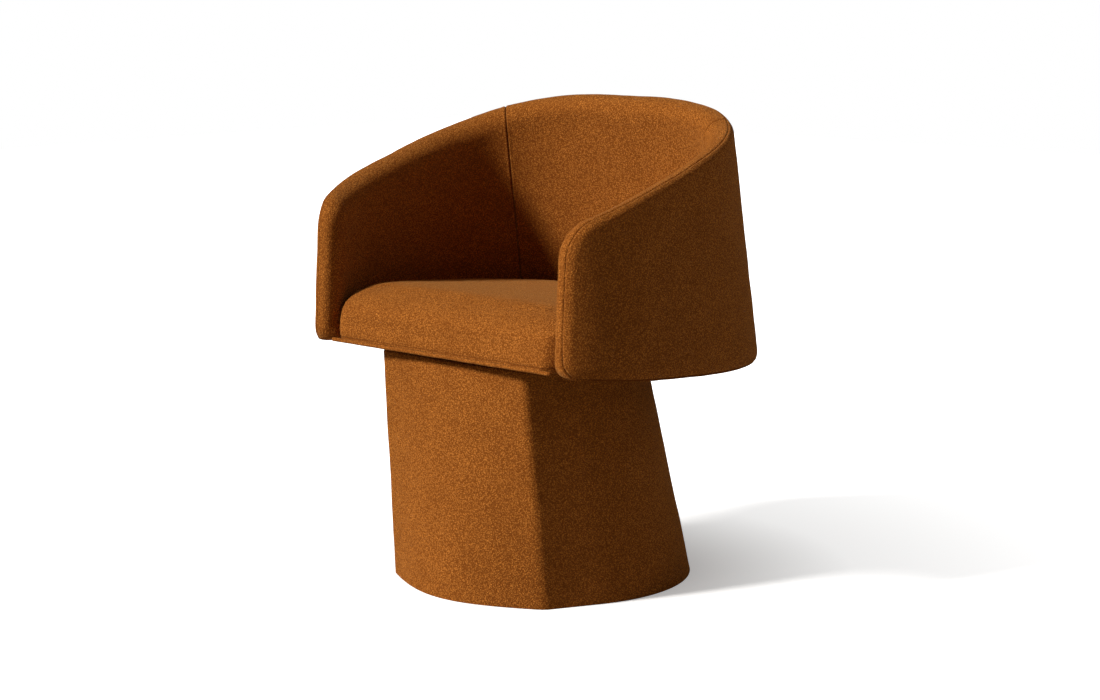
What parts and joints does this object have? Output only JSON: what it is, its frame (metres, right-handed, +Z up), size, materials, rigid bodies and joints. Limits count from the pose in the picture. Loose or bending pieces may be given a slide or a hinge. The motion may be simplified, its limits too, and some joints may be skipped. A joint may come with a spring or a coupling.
{
  "type": "pedestal swivel armchair",
  "caption": "Upholstered bucket armchair whose low arms rise into a curved back, turning on a leaning cloth-covered drum pedestal",
  "frame": {"origin": "On the floor, under the middle of the chair's bounding box.", "axes": "+Z up, the chair faces -Y, +X is the sitter's left arm, which is the arm nearer the camera in the picture."},
  "size_m": [0.66, 0.5581, 0.775],
  "materials": {
    "cloth": "rust brown boucle wool, pebbled, matt",
    "foam": "cold-cured seating foam, matt",
    "plywood": "birch plywood, sanded, unfinished",
    "steel": "zinc-plated steel, semi-bright",
    "nylon": "black moulded nylon, matt",
    "lining": "dark spunbonded lining sheet, matt"
  },
  "bodies": {
    "pedestal": {"ballast_bolt_1": "steel", "ballast_bolt_2": "steel", "ballast_plate": "steel", "glide_1": "nylon", "glide_2": "nylon", "glide_3": "nylon", "glide_4": "nylon", "glide_5": "nylon", "glide_6": "nylon", "pedestal_cover": "cloth", "pedestal_dust_sheet": "lining", "pedestal_foot_board": "plywood", "pedestal_padding": "foam", "pedestal_post_1": "plywood", "pedestal_post_2": "plywood", "pedestal_post_3": "plywood", "pedestal_post_4": "plywood", "pedestal_top_board": "plywood", "pedestal_wall": "plywood", "swivel_hub": "steel", "swivel_lower_bolt_1": "steel", "swivel_lower_bolt_2": "steel", "swivel_lower_bolt_3": "steel", "swivel_lower_bolt_4": "steel", "swivel_lower_plate": "steel"},
    "bucket": {"hem_cover": "cloth", "inner_back_cover": "cloth", "left_arm_cover": "cloth", "outer_cover": "cloth", "right_arm_cover": "cloth", "seat_board": "plywood", "seat_cover": "cloth", "seat_dust_sheet": "lining", "seat_foam": "foam", "seat_front_welt": "cloth", "shell_foam": "foam", "shell_frame": "plywood", "shell_screw_1": "steel", "shell_screw_2": "steel", "shell_screw_3": "steel", "shell_screw_4": "steel", "shell_screw_5": "steel", "shell_screw_6": "steel", "swivel_upper_bolt_1": "steel", "swivel_upper_bolt_2": "steel", "swivel_upper_bolt_3": "steel", "swivel_upper_bolt_4": "steel", "swivel_upper_plate": "steel"},
    "cage": {"swivel_ball_cage": "steel"}
  },
  "joints": [
    {"name": "seat_swivel", "type": "hinge", "parent": "pedestal", "child": "bucket", "pos_m": [0, -0.044, 0.3844], "axis": [0, 0, 1], "continuous": true},
    {"name": "cage_turn", "type": "hinge", "parent": "pedestal", "child": "cage", "pos_m": [0, -0.044, 0.3844], "axis": [0, 0, 1], "continuous": true}
  ],
  "couplings": [
    {"joint": "cage_turn", "follows": "seat_swivel", "ratio": 0.5}
  ]
}
